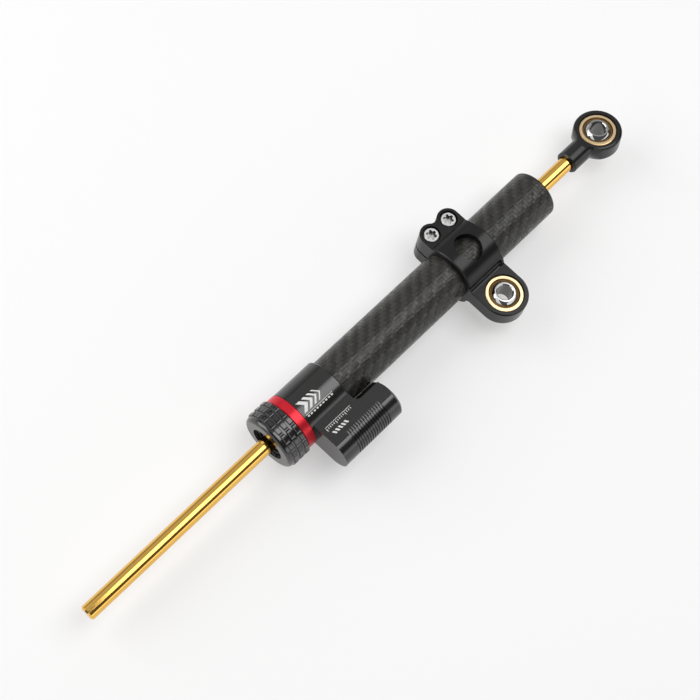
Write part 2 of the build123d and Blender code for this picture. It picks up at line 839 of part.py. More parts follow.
# Circlips that hold the piston on the rod
left_circlip = shaft_circlip(left_clip_x, rod_groove_r, 1)
left_circlip.part.label = "piston_circlip_left"
export_step(left_circlip.part, "parts/piston_circlip_left.step")

right_circlip = shaft_circlip(right_clip_x, rod_groove_r, 1)
right_circlip.part.label = "piston_circlip_right"
export_step(right_circlip.part, "parts/piston_circlip_right.step")

# Floating piston between oil and gas in the reservoir
float_x = reservoir_bore_x + float_start
float_r = reservoir_bore_r - running_gap
float_ring_middle_x = float_x + float_ring_x + float_ring_width / 2
with BuildPart() as floating_piston:
    with BuildSketch(reservoir_side):
        with BuildLine():
            Polyline(
                (float_x, 0),
                (float_x, float_r),
                (float_x + float_length, float_r),
                (float_x + float_length, float_r - float_skirt_wall),
                (float_x + float_face, float_r - float_skirt_wall),
                (float_x + float_face, 0),
                close=True,
            )
        make_face()
        with Locations((float_ring_middle_x, float_r)):
            Rectangle(float_ring_width, 2 * float_ring_depth, mode=Mode.SUBTRACT)
    revolve(axis=reservoir_axis)
floating_piston.part.label = "floating_piston"
export_step(floating_piston.part, "parts/floating_piston.step")

floating_piston_ring = turned_ring(
    reservoir_side,
    reservoir_axis,
    float_ring_middle_x - float_ring_width / 2,
    float_ring_middle_x + float_ring_width / 2,
    float_r - float_ring_depth,
    float_r,
)
floating_piston_ring.part.label = "floating_piston_ring"
export_step(floating_piston_ring.part, "parts/floating_piston_ring.step")

# Reservoir cap: screwed in, two holes for a pin spanner, gas valve screw in the middle
reservoir_cap_x = reservoir_right_x - reservoir_cap_length
reservoir_oring_x = reservoir_cap_x + reservoir_cap_length - reservoir_oring_setback
reservoir_floor_r = reservoir_bore_r - (oring_wire - oring_squeeze)
valve_head_x = reservoir_right_x - valve_head_height
with BuildPart() as reservoir_cap:
    with BuildSketch(reservoir_side):
        with Locations((reservoir_right_x - reservoir_cap_length / 2, reservoir_bore_r / 2)):
            Rectangle(reservoir_cap_length, reservoir_bore_r)
        with Locations((reservoir_oring_x, reservoir_bore_r)):
            Rectangle(
                2 * oring_half, 2 * (reservoir_bore_r - reservoir_floor_r), mode=Mode.SUBTRACT
            )
    revolve(axis=reservoir_axis)
    with BuildSketch(head_cross_plane(reservoir_right_x)):
        with Locations(
            (reservoir_offset, cap_pin_spacing / 2), (reservoir_offset, -cap_pin_spacing / 2)
        ):
            Circle(cap_pin_hole_d / 2)
    extrude(amount=-cap_pin_depth, mode=Mode.SUBTRACT)
    with BuildSketch(head_cross_plane(reservoir_right_x)):
        with Locations((reservoir_offset, 0)):
            Circle(valve_head_d / 2)
    extrude(amount=-valve_head_height, mode=Mode.SUBTRACT)
    with BuildSketch(head_cross_plane(reservoir_right_x)):
        with Locations((reservoir_offset, 0)):
            Circle(valve_d / 2)
    extrude(amount=-reservoir_cap_length, mode=Mode.SUBTRACT)
reservoir_cap.part.label = "reservoir_cap"
export_step(reservoir_cap.part, "parts/reservoir_cap.step")

reservoir_oring = squeezed_oring(
    reservoir_side,
    reservoir_axis,
    reservoir_oring_x - oring_half,
    reservoir_oring_x + oring_half,
    reservoir_floor_r,
    reservoir_bore_r,
)
reservoir_oring.part.label = "reservoir_oring"
export_step(reservoir_oring.part, "parts/reservoir_oring.step")

with BuildPart() as gas_valve_screw:
    with BuildSketch(head_cross_plane(valve_head_x)):
        with Locations((reservoir_offset, 0)):
            Circle(valve_head_d / 2)
    extrude(amount=valve_head_height)
    with BuildSketch(head_cross_plane(valve_head_x)):
        with Locations((reservoir_offset, 0)):
            Circle(valve_d / 2)
    extrude(amount=-(valve_length - valve_head_height))
    with BuildSketch(head_cross_plane(reservoir_right_x)):
        with Locations((reservoir_offset, 0)):
            RegularPolygon(valve_key / 2, 6, major_radius=False)
    extrude(amount=-valve_key_depth, mode=Mode.SUBTRACT)
gas_valve_screw.part.label = "gas_valve_screw"
export_step(gas_valve_screw.part, "parts/gas_valve_screw.step")

# Clamp: ring round the tube, lug for the ball joint, split ear with two screws
lug_top = lug_thickness / 2
joint_race_r = joint_race_d / 2
ear_screw_x = clamp_half - ear_lobe_r
lobe_y = axis_y + ear_screw_y
valley_y = lobe_y + math.sqrt((ear_lobe_r + ear_valley_r) ** 2 - ear_screw_x ** 2)
scoop_y = -(clamp_r - scoop_inset)
scoop_z = lug_top + scoop_r
crease_y = axis_y - math.sqrt(clamp_r ** 2 - lug_top ** 2)
ear_crease_y = axis_y + math.sqrt(clamp_r ** 2 - ear_top ** 2)
screw_places = [(-ear_screw_x, lobe_y), (ear_screw_x, lobe_y)]
screw_top = ear_top - screw_sink
screw_seat = screw_top - screw_head_height

with BuildPart() as clamp:
    with BuildSketch(cross_plane(-clamp_half)):
        Circle(clamp_r)
    extrude(amount=clamp_width)
    chamfer(clamp.edges().filter_by(GeomType.CIRCLE), clamp_edge)
    # Lug, as wide as the ring
    with BuildSketch(Plane.XY.offset(-lug_top)):
        Circle(clamp_half)
        with Locations((0, axis_y / 2)):
            Rectangle(clamp_width, axis_y)
    extrude(amount=lug_thickness)
    lug_outline = clamp.edges().filter_by(
        lambda e: abs(abs(e.center().Z) - lug_top) < 0.01 and e.center().Y < crease_y - 1
    )
    chamfer(lug_outline, lug_edge)
    # Ear with two lobes and a round valley between them
    with BuildSketch(Plane.XY.offset(-ear_bottom)):
        with Locations((0, axis_y + ear_screw_y / 2)):
            Rectangle(clamp_width, ear_screw_y)
        with Locations(*screw_places):
            Circle(ear_lobe_r)
        with BuildLine():
            Polyline(
                (-ear_screw_x, lobe_y), (ear_screw_x, lobe_y), (0, valley_y), close=True
            )
        make_face()
        with Locations((0, valley_y)):
            Circle(ear_valley_r, mode=Mode.SUBTRACT)
    extrude(amount=ear_top + ear_bottom)
    # Grooves that free the lug from the ring on both faces
    for side in (1, -1):
        with BuildSketch(cross_plane(-clamp_width)):
            with Locations((scoop_y, side * scoop_z)):
                Circle(scoop_r)
        extrude(amount=clamp_width + scoop_run, mode=Mode.SUBTRACT)
        with Locations((scoop_run, axis_y + scoop_y, side * scoop_z)):
            Sphere(scoop_r, mode=Mode.SUBTRACT)
    # Bore for the tube, window over it, slit through the ear, seat for the race
    with BuildSketch(cross_plane(-clamp_width)):
        Circle(tube_r)
    extrude(amount=2 * clamp_width, mode=Mode.SUBTRACT)
    with BuildSketch(Plane.XY):
        with Locations((0, axis_y)):
            Ellipse(window_length / 2, window_width / 2)
    extrude(amount=clamp_r + 1, mode=Mode.SUBTRACT)
    with BuildSketch(Plane.XY):
        with Locations((0, axis_y + clamp_r)):
            Rectangle(2 * clamp_width, 2 * clamp_r)
    extrude(amount=slit / 2, both=True, mode=Mode.SUBTRACT)
    with BuildSketch(Plane.XY):
        Circle(joint_race_r)
    extrude(amount=lug_thickness, both=True, mode=Mode.SUBTRACT)
    # Screw holes: clearance above the slit, thread below, counterbored for the heads
    with BuildSketch(Plane.XY):
        with Locations(*screw_places):
            Circle(screw_clearance_d / 2)
    extrude(amount=ear_top, mode=Mode.SUBTRACT)
    with BuildSketch(Plane.XY):
        with Locations(*screw_places):
            Circle(screw_d / 2)
    extrude(amount=-ear_bottom, mode=Mode.SUBTRACT)
    with BuildSketch(Plane.XY.offset(screw_seat)):
        with Locations(*screw_places):
            Circle(counterbore_d / 2)
    extrude(amount=ear_top, mode=Mode.SUBTRACT)
clamp.part.label = "clamp"
export_step(clamp.part, "parts/clamp.step")

# Clamp screws, round heads with six-lobed sockets
with BuildPart() as clamp_screws:
    with BuildSketch(Plane.XY.offset(screw_seat)):
        with Locations(*screw_places):
            Circle(screw_head_d / 2)
    extrude(amount=screw_head_height)
    chamfer(clamp_screws.edges().group_by(Axis.Z)[-1], screw_edge)
    with BuildSketch(Plane.XY.offset(screw_seat)):
        with Locations(*screw_places):
            Circle(screw_d / 2)
    extrude(amount=-(screw_seat + ear_bottom - screw_tip_gap))
    with BuildSketch(Plane.XY.offset(screw_top)):
        with Locations(*screw_places):
            Circle(screw_star_root_d / 2)
            with PolarLocations(screw_star_d / 2 - screw_star_lobe_r, 6):
                Circle(screw_star_lobe_r)
    extrude(amount=-screw_key_depth, mode=Mode.SUBTRACT)
clamp_screws.part.label = "clamp_screws"
export_step(clamp_screws.part, "parts/clamp_screws.step")


# Ball joints: outer race, thin low-friction liner, and a bored ball
def joint_race(plane):
    """Outer race: a ring with a spherical inside, chamfered mouths and rounded outer rims."""
    with BuildPart(plane) as race:
        Cylinder(joint_race_r, joint_race_width)
        Sphere(liner_outer_r, mode=Mode.SUBTRACT)
        rims = race.edges().filter_by(GeomType.CIRCLE)
        chamfer(
            rims.filter_by(lambda e: liner_outer_r - 3 < e.radius < liner_outer_r),
            joint_race_chamfer,
        )
        fillet(rims.filter_by(lambda e: e.radius > joint_race_r - running_gap), joint_race_edge)
    return race


def joint_liner(plane):
    """Liner: a thin spherical shell bonded into the race."""
    with BuildPart(plane) as shell:
        Sphere(liner_outer_r)
        Cylinder(liner_outer_r, joint_liner_width, mode=Mode.INTERSECT)
        Sphere(liner_inner_r, mode=Mode.SUBTRACT)
    return shell


def joint_ball(plane):
    """Ball with flat ends and a bore for the bolt."""
    with BuildPart(plane) as ball:
        Sphere(joint_sphere_r)
        Cylinder(joint_sphere_r, joint_ball_width, mode=Mode.INTERSECT)
        Cylinder(joint_bore_d / 2, 2 * joint_ball_width, mode=Mode.SUBTRACT)
        mouths = ball.edges().filter_by(GeomType.CIRCLE)
        chamfer(
            mouths.filter_by(lambda e: e.radius < joint_bore_d / 2 + running_gap),
            joint_ball_chamfer,
        )
    return ball


body_race = joint_race(body_joint_plane)
body_race.part.label = "body_joint_race"
export_step(body_race.part, "parts/body_joint_race.step")

body_liner = joint_liner(body_joint_plane)
body_liner.part.label = "body_joint_liner"
export_step(body_liner.part, "parts/body_joint_liner.step")

body_ball = joint_ball(body_joint_plane)
body_ball.part.label = "body_joint_ball"
export_step(body_ball.part, "parts/body_joint_ball.step")

rod_race = joint_race(rod_joint_plane)
rod_race.part.label = "rod_joint_race"
export_step(rod_race.part, "parts/rod_joint_race.step")

rod_liner = joint_liner(rod_joint_plane)
rod_liner.part.label = "rod_joint_liner"
export_step(rod_liner.part, "parts/rod_joint_liner.step")

rod_ball = joint_ball(rod_joint_plane)
rod_ball.part.label = "rod_joint_ball"
export_step(rod_ball.part, "parts/rod_joint_ball.step")

# Rod end: a turned neck that flares into a flat eye with rounded edges
eye_r = rod_end_d / 2
eye_half = rod_end_thickness / 2
neck_r = neck_d / 2
root_half = neck_root / 2
blend_y = root_half + neck_blend_r
blend_x = math.sqrt((eye_r + neck_blend_r) ** 2 - blend_y ** 2)
meet_x = -blend_x * eye_r / (eye_r + neck_blend_r)
meet_y = blend_y * eye_r / (eye_r + neck_blend_r)
arc_angle = math.atan2(meet_x + blend_x, blend_y - meet_y) / 2
flare_y = meet_y - meet_x * blend_x / blend_y
neck_end_x = rod_end_x - joint_race_r
stud_hole_end_x = rod_shoulder_x + rod_stud_length + axial_gap
with BuildPart() as rod_end:
    with BuildSketch(rod_joint_plane.offset(-eye_half)):
        Circle(eye_r)
        with BuildLine():
            Polyline((0, 0), (-blend_x, blend_y), (-blend_x, -blend_y), close=True)
        make_face()
        with Locations((-blend_x, blend_y), (-blend_x, -blend_y)):
            Circle(neck_blend_r, mode=Mode.SUBTRACT)
    extrude(amount=rod_end_thickness)
    fillet(rod_end.edges().filter_by(GeomType.CIRCLE), rod_end_edge)
    # The flare is turned about the rod's axis, so its corners run out into the neck
    with BuildSketch(main_side):
        with BuildLine():
            ThreePointArc(
                (rod_end_x - blend_x, root_half),
                (
                    rod_end_x - blend_x + neck_blend_r * math.sin(arc_angle),
                    blend_y - neck_blend_r * math.cos(arc_angle),
                ),
                (rod_end_x + meet_x, meet_y),
            )
            Polyline(
                (rod_end_x + meet_x, meet_y),
                (rod_end_x, flare_y),
                (rod_end_x + rod_end_d, flare_y),
                (rod_end_x + rod_end_d, 0),
                (rod_end_x - blend_x, 0),
                (rod_end_x - blend_x, root_half),
            )
        make_face()
    revolve(axis=main_axis, mode=Mode.INTERSECT)
    with BuildSketch(main_side):
        with BuildLine():
            Polyline(
                (neck_mouth_x, 0),
                (neck_mouth_x, neck_r - neck_edge),
                (neck_mouth_x + neck_edge, neck_r),
                (neck_end_x, neck_r),
                (neck_end_x, 0),
                close=True,
            )
        make_face()
    revolve(axis=main_axis)
    # The eye's faces are milled flat round its middle, which cuts a little into the neck
    with BuildSketch(rod_joint_plane.offset(eye_half), rod_joint_plane.offset(-eye_half - neck_r)):
        Circle(neck_face_r)
    extrude(amount=neck_r, mode=Mode.SUBTRACT)
    # Socket for the rod, hole for its stud, seat for the race
    with BuildSketch(cross_plane(neck_mouth_x)):
        Circle(neck_socket_d / 2)
    extrude(amount=neck_socket_depth, mode=Mode.SUBTRACT)
    with BuildSketch(cross_plane(neck_mouth_x)):
        Circle(stud_r + running_gap)
    extrude(amount=stud_hole_end_x - neck_mouth_x, mode=Mode.SUBTRACT)
    with BuildSketch(rod_joint_plane):
        Circle(joint_race_r)
    extrude(amount=rod_end_thickness, both=True, mode=Mode.SUBTRACT)
rod_end.part.label = "rod_end_housing"
export_step(rod_end.part, "parts/rod_end_housing.step")
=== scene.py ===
"""Steering damper for a motorbike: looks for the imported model, in metres, in the CAD frame.
X runs along the tube from the plain rod tip to the rod end, Z along the bolt of the clamp's
ball joint."""

import math

import bpy
import numpy as np
from mathutils import Matrix, Vector


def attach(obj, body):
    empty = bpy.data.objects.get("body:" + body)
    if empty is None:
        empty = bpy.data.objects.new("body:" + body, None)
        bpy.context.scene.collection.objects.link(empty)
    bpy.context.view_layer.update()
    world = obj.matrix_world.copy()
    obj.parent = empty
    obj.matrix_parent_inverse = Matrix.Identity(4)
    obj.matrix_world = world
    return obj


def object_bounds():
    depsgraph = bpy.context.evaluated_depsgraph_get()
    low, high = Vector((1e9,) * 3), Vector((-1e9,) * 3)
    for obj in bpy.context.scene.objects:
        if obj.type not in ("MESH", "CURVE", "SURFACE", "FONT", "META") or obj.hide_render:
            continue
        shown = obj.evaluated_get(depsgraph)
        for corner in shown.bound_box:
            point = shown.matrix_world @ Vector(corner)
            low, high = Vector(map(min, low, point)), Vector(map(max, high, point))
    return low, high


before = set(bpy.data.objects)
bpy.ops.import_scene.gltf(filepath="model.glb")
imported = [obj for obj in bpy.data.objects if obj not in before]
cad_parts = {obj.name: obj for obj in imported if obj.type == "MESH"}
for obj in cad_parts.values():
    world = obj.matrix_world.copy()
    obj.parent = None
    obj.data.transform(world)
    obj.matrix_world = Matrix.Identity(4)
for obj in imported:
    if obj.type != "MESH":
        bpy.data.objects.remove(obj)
cad_low, cad_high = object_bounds()

# Camera: looks steeply down on the damper, which runs from low left to high right of the frame.
# Its place and lens come from the photograph's circles of rod, knob, tube and ball joints.
camera_data = bpy.data.cameras.new("camera")
camera_data.lens = 74.81
camera_data.sensor_width = 36.0
camera_data.clip_start = 0.01
camera_data.clip_end = 20.0
camera = bpy.data.objects.new("camera", camera_data)
bpy.context.collection.objects.link(camera)
camera_right = Vector((0.6908, -0.7161, 0.1003)).normalized()
camera_back = Vector((-0.3262, -0.1848, 0.9271))
camera_back = (camera_back - camera_back.dot(camera_right) * camera_right).normalized()
camera_up = camera_back.cross(camera_right)
camera_place = Vector((-0.30272, -0.09622, 0.64767))
camera.matrix_world = Matrix((
    (camera_right.x, camera_up.x, camera_back.x, camera_place.x),
    (camera_right.y, camera_up.y, camera_back.y, camera_place.y),
    (camera_right.z, camera_up.z, camera_back.z, camera_place.z),
    (0, 0, 0, 1),
))
bpy.context.scene.camera = camera
bpy.context.scene.view_settings.view_transform = "Standard"


# Table top under the damper: a plain white board. The camera, metal and glass see it as paper
# white, and it keeps a soft shadow.
def link(tree, source, target):
    """Joins an output to an input."""
    tree.links.new(source, target)


floor_gap = 0.0004
floor_z = cad_low.z - floor_gap
board_half = 1.1
white_share = 0.42       # share of the board's look that is paper white; the rest is lit
board_mesh = bpy.data.meshes.new("table_top")
board_mesh.from_pydata(
    [(-board_half, -board_half, floor_z), (board_half, -board_half, floor_z),
     (board_half, board_half, floor_z), (-board_half, board_half, floor_z)],
    [], [(0, 1, 2, 3)],
)
table_top = bpy.data.objects.new("table_top", board_mesh)
bpy.context.collection.objects.link(table_top)
board = bpy.data.materials.new("white_board")
board.use_nodes = True
tree = board.node_tree
shader = tree.nodes["Principled BSDF"]
shader.inputs["Base Color"].default_value = (0.93, 0.93, 0.93, 1)
shader.inputs["Roughness"].default_value = 0.9
shader.inputs["Specular IOR Level"].default_value = 0.0
paper_white = tree.nodes.new("ShaderNodeEmission")
paper_white.inputs["Strength"].default_value = 1.0
rays = tree.nodes.new("ShaderNodeLightPath")
seen = rays.outputs["Is Camera Ray"]
for ray in ("Is Glossy Ray", "Is Transmission Ray"):
    either = tree.nodes.new("ShaderNodeMath")
    either.operation = "MAXIMUM"
    link(tree, seen, either.inputs[0])
    link(tree, rays.outputs[ray], either.inputs[1])
    seen = either.outputs[0]
share = tree.nodes.new("ShaderNodeMath")
share.operation = "MULTIPLY"
share.inputs[1].default_value = white_share
link(tree, seen, share.inputs[0])
mixed = tree.nodes.new("ShaderNodeMixShader")
link(tree, share.outputs[0], mixed.inputs[0])
link(tree, shader.outputs[0], mixed.inputs[1])
link(tree, paper_white.outputs[0], mixed.inputs[2])
link(tree, mixed.outputs[0], tree.nodes["Material Output"].inputs["Surface"])
board_mesh.materials.append(board)

# Room: even grey walls all round, which light the damper a little and which the camera sees
# as white.
room = bpy.data.worlds.new("room")
room.use_nodes = True
bpy.context.scene.world = room
tree = room.node_tree
walls = tree.nodes["Background"]
walls.inputs["Color"].default_value = (1, 1, 1, 1)
walls.inputs["Strength"].default_value = 0.12
backdrop = tree.nodes.new("ShaderNodeBackground")
backdrop.inputs["Color"].default_value = (1, 1, 1, 1)
backdrop.inputs["Strength"].default_value = 1.0
rays = tree.nodes.new("ShaderNodeLightPath")
mixed = tree.nodes.new("ShaderNodeMixShader")
link(tree, rays.outputs["Is Camera Ray"], mixed.inputs[0])
link(tree, walls.outputs[0], mixed.inputs[1])
link(tree, backdrop.outputs[0], mixed.inputs[2])
link(tree, mixed.outputs[0], tree.nodes["World Output"].inputs["Surface"])


# Soft lamps: a bright one above gives the line along every round piece, a wide dim one on the
# clamp screws' side gives the broad grey sheen, three low ones stand for the white walls, and
# the main light falls from the knob's side.
lamp_target = Vector((-0.08, 0.02, 0))


def soft_lamp(name, toward, distance, length, width, glow):
    """Rectangular lamp that the camera doesn't see. toward is the direction from the target to it,
    its length lies along X, and glow is its radiance. Power is radiance times pi times area."""
    data = bpy.data.lights.new(name, "AREA")
    data.shape = "RECTANGLE"
    data.size = length
    data.size_y = width
    data.energy = glow * math.pi * length * width
    lamp = bpy.data.objects.new(name, data)
    back = Vector(toward).normalized()
    along = (Vector((1, 0, 0)) - back.x * back).normalized()
    across = back.cross(along)
    spot = lamp_target + back * distance
    lamp.matrix_world = Matrix((
        (along.x, across.x, back.x, spot.x),
        (along.y, across.y, back.y, spot.y),
        (along.z, across.z, back.z, spot.z),
        (0, 0, 0, 1),
    ))
    lamp.visible_camera = False
    bpy.context.collection.objects.link(lamp)


soft_lamp("main_lamp", (-0.5, 0.72, 0.48), 1.35, 1.35, 1.12, 2.8)
soft_lamp("line_lamp", (0.326, -0.214, 0.92), 1.0, 0.8, 0.66, 3.3)
soft_lamp("sheen_lamp", (0.30, 0.61, 0.73), 1.1, 1.6, 1.15, 0.46)
soft_lamp("low_lamp", (0.30, -0.93, 0.19), 1.45, 2.17, 0.53, 1.4)
soft_lamp("side_lamp", (-0.95, -0.15, 0.24), 1.2, 0.5, 1.6, 1.2)
soft_lamp("back_lamp", (0.1, 0.98, 0.12), 1.3, 1.8, 0.36, 0.45)


# Head: head, flat web and reservoir body in one block of aluminium, turned and milled, then
# black anodised to a satin finish. Fine turning lines run round the tube's axis.
def new_finish(name, base, roughness, metallic=0.0):
    """Material with one shader. Returns it, its node tree and its shader."""
    material = bpy.data.materials.new(name)
    material.use_nodes = True
    tree = material.node_tree
    shader = tree.nodes["Principled BSDF"]
    shader.inputs["Base Color"].default_value = (*base, 1)
    shader.inputs["Roughness"].default_value = roughness
    shader.inputs["Metallic"].default_value = metallic
    return material, tree, shader


def calc(tree, operation, *values):
    """One sum worked out by a node; each value is a number or an output."""
    node = tree.nodes.new("ShaderNodeMath")
    node.operation = operation
    for i, value in enumerate(values):
        if isinstance(value, (int, float)):
            node.inputs[i].default_value = value
        else:
            link(tree, value, node.inputs[i])
    return node.outputs[0]


def weighted(tree, *parts):
    """Sum of the parts, each of which is an output times its share."""
    total = calc(tree, "MULTIPLY", *parts[0])
    for value, share in parts[1:]:
        total = calc(tree, "ADD", total, calc(tree, "MULTIPLY", value, share))
    return total


def place(tree, centre=(0, 0, 0)):
    """X, Y and Z of a surface point from a centre, in metres."""
    coords = tree.nodes.new("ShaderNodeTexCoord")
    shifted = tree.nodes.new("ShaderNodeVectorMath")
    shifted.operation = "SUBTRACT"
    shifted.inputs[1].default_value = centre
    link(tree, coords.outputs["Object"], shifted.inputs[0])
    split = tree.nodes.new("ShaderNodeSeparateXYZ")
    link(tree, shifted.outputs[0], split.inputs[0])
    return split.outputs[0], split.outputs[1], split.outputs[2]


def grain(tree, cells, detail, vector=None):
    """Noise from 0 to 1 on Object coordinates or a given vector. It has that many cells per metre,
    all ways or along X, Y and Z apart, and detail is how many finer layers it has."""
    if vector is None:
        vector = tree.nodes.new("ShaderNodeTexCoord").outputs["Object"]
    mapping = tree.nodes.new("ShaderNodeMapping")
    mapping.inputs["Scale"].default_value = cells if isinstance(cells, tuple) else (cells,) * 3
    link(tree, vector, mapping.inputs[0])
    noise = tree.nodes.new("ShaderNodeTexNoise")
    noise.inputs["Scale"].default_value = 1.0
    noise.inputs["Detail"].default_value = detail
    link(tree, mapping.outputs[0], noise.inputs["Vector"])
    return noise.outputs[0]


def turning_lines(tree, centre, pitch):
    """Lines left by the lathe: noise that depends only on x and on the distance from the axis
    through centre along X, one line each pitch."""
    x, y, z = place(tree, centre)
    squares = calc(tree, "ADD", calc(tree, "MULTIPLY", y, y), calc(tree, "MULTIPLY", z, z))
    radius = calc(tree, "SQRT", squares)
    joined = tree.nodes.new("ShaderNodeCombineXYZ")
    link(tree, x, joined.inputs[0])
    link(tree, radius, joined.inputs[1])
    return grain(tree, (1 / pitch, 1 / pitch, 1), 1.0, joined.outputs[0])


def tint(tree, shader, factor, first, second):
    """Colour that goes from first to second as factor goes from 0 to 1."""
    mix = tree.nodes.new("ShaderNodeMix")
    mix.data_type = "RGBA"
    mix.inputs["A"].default_value = (*first, 1)
    mix.inputs["B"].default_value = (*second, 1)
    link(tree, factor, mix.inputs["Factor"])
    link(tree, mix.outputs["Result"], shader.inputs["Base Color"])


def spread(tree, shader, factor, low, high):
    """Roughness that goes from low to high as factor goes from 0 to 1."""
    node = tree.nodes.new("ShaderNodeMapRange")
    node.inputs["To Min"].default_value = low
    node.inputs["To Max"].default_value = high
    link(tree, factor, node.inputs["Value"])
    link(tree, node.outputs[0], shader.inputs["Roughness"])


def relief(tree, shader, height, depth):
    """Bump of that depth in metres where height goes from 0 to 1."""
    bump = tree.nodes.new("ShaderNodeBump")
    bump.inputs["Strength"].default_value = 1.0
    bump.inputs["Distance"].default_value = depth
    link(tree, height, bump.inputs["Height"])
    link(tree, bump.outputs[0], shader.inputs["Normal"])


def dress(material, *names):
    """Gives a material to CAD nodes through their own slots."""
    for name in names:
        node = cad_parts[name]
        if not node.material_slots:
            node.data.materials.append(material)
        for material_slot in node.material_slots:
            material_slot.material = material


def clouded(base):
    """Darkest and lightest colour of an even skin with faint clouds."""
    return [0.8 * c for c in base], [1.25 * c for c in base]


def anodised(
    name, base, roughness, centre, pitch=0.00025, depth=0.000004, sheen=0.5, metallic=0.0
):
    """Anodised aluminium: even colour with faint clouds, satin skin, fine tool lines."""
    material, tree, shader = new_finish(name, base, roughness, metallic)
    shader.inputs["Specular IOR Level"].default_value = sheen
    tint(tree, shader, grain(tree, 90, 3.0), *clouded(base))
    lines = turning_lines(tree, centre, pitch)
    skin = grain(tree, 5200, 2.0)
    spread(tree, shader, lines, roughness - 0.04, roughness + 0.04)
    relief(tree, shader, weighted(tree, (lines, 0.7), (skin, 0.5)), depth)
    return material


tube_axis = (0, 0.027, 0)
head_black = anodised(
    "head_black_anodised", (0.006, 0.006, 0.0055), 0.2, tube_axis, depth=0.0000015, sheen=0.75
)
dress(head_black, "head_block")

# Reservoir cap: a turned aluminium plug, black anodised, screwed into the reservoir's far end.
# Its grey colour, lighter than the head's black, is a painted reflection of the white table.
# The web that carries the reservoir is turned a little round the tube.
reservoir_reach = 0.0234
web_turn = math.radians(3.5)
reservoir_axis = (
    0, tube_axis[1] - reservoir_reach * math.cos(web_turn), reservoir_reach * math.sin(web_turn)
)
# Painted reflection: the cap's base colour is a lighter grey than the head's black.
cap_black_painted_reflection = anodised("reservoir_cap_painted_reflection", (0.05, 0.05, 0.05), 0.3, reservoir_axis, sheen=0.9)
dress(cap_black_painted_reflection, "reservoir_cap")


# Marking: white ink printed as four arrow strokes with a line and a row of blocks beside them
# on the head, and as a line with a small scale and slanted bars on the flat web. It is generic
# and means nothing.
def skin_mesh(name, points, faces, thickness, material):
    """Mesh object with a thin wall, standing in place; the wall goes inwards."""
    mesh = bpy.data.meshes.new(name)
    mesh.from_pydata(points.tolist(), [], faces.tolist())
    mesh.materials.append(material)
    piece = bpy.data.objects.new(name, mesh)
    bpy.context.collection.objects.link(piece)
    wall = piece.modifiers.new("wall", "SOLIDIFY")
    wall.thickness = thickness
    wall.offset = -1.0
    return piece


def patch_grid(u_count, v_count, first):
    """Faces of a grid of u_count by v_count points that starts at index first."""
    i, j = np.meshgrid(np.arange(u_count - 1), np.arange(v_count - 1), indexing="ij")
    a = (first + i * v_count + j).ravel()
    return np.stack([a, a + 1, a + v_count + 1, a + v_count], axis=1)


def bars_on_head(bars, radius):
    """Slanted bars wrapped round the head. Across a bar u goes from 0 to 1 along X, along it v goes
    from 0 to 1 round the tube: x = start + width u + slant v, angle = from + (to - from) v,
    y = axis + radius cos(angle), z = radius sin(angle)."""
    points, faces, first = [], [], 0
    steps = 14
    u = np.array([[0.0], [1.0]])
    v = np.linspace(0, 1, steps)
    for start, width, slant, angle_from, angle_to in bars:
        x = start + width * u + slant * v[None, :]
        angle = np.radians(angle_from + (angle_to - angle_from) * v)[None, :] + 0 * u
        y = tube_axis[1] + radius * np.cos(angle)
        z = radius * np.sin(angle)
        points.append(np.stack([x, y, z], axis=-1).reshape(-1, 3))
        faces.append(patch_grid(2, steps, first))
        first += 2 * steps
    return np.concatenate(points), np.concatenate(faces)


def bars_on_web(bars, lift):
    """Slanted bars on the flat web: s runs along X, t away from the tube, both in metres:
    point = tube axis + t times the web's direction + lift times its normal."""
    forward = np.array([1.0, 0, 0])
    away = np.array([0, -math.cos(web_turn), math.sin(web_turn)])
    normal = np.array([0, math.sin(web_turn), math.cos(web_turn)])
    above_axis = np.array(tube_axis) + lift * normal
    points, faces, first = [], [], 0
    for start, width, slant, t_from, t_to in bars:
        s = np.array([start, start + slant, start + width, start + width + slant])
        t = np.array([t_from, t_to, t_from, t_to])
        points.append(s[:, None] * forward + t[:, None] * away + above_axis)
        faces.append(patch_grid(2, 2, first))
        first += 4
    return np.concatenate(points), np.concatenate(faces)


ink, tree, shader = new_finish("white_ink", (0.74, 0.74, 0.73), 0.5)
tint(tree, shader, grain(tree, 900, 3.0), (0.66, 0.66, 0.65), (0.8, 0.8, 0.79))
relief(tree, shader, grain(tree, 4000, 2.0), 0.000004)
ink_depth = 0.00003

# Each bar: start, width, slant, from and to. On the head the last two are degrees round the
# tube, on the web they are metres from the tube's axis.
head_radius = 0.0146
arrow_starts = (-0.1148, -0.1113, -0.1082, -0.1054)
arrow_widths = (0.0022, 0.0017, 0.0012, 0.0008)
arrow_lean = -0.0028
arrow_middle = 95
arrow_ends = (83, 107)
block_pitch = 0.0019
block_count = 9
head_bars = [
    (start, width, arrow_lean, arrow_middle, end)
    for start, width in zip(arrow_starts, arrow_widths)
    for end in arrow_ends
]
head_bars += [(-0.1176, 0.0172, 0.0, 110.6, 111.5)]
head_bars += [(-0.1172 + block_pitch * i, 0.0011, 0.0, 113.6, 116.6) for i in range(block_count)]
points, faces = bars_on_head(head_bars, head_radius + ink_depth)
head_marking = skin_mesh("head_marking", points, faces, ink_depth, ink)
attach(head_marking, "body")

web_height = 0.00966     # from the tube's axis to the web's flat face
tick_pitch = 0.0012
tick_count = 14
long_tick = 5            # every fifth tick is longer
slash_count = 5
web_bars = [(-0.1150, 0.0165, 0.0, 0.0158, 0.0160)]
web_bars += [
    (-0.1150 + tick_pitch * i, 0.00035, 0.0, 0.0165, 0.0174 + 0.0006 * (i % long_tick == 0))
    for i in range(tick_count)
]
web_bars += [
    (-0.1140 + block_pitch * i, 0.0010, 0.0010, 0.0194, 0.0212) for i in range(slash_count)
]
points, faces = bars_on_web(web_bars, web_height + ink_depth)
web_marking = skin_mesh("web_marking", points, faces, ink_depth, ink)
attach(web_marking, "body")

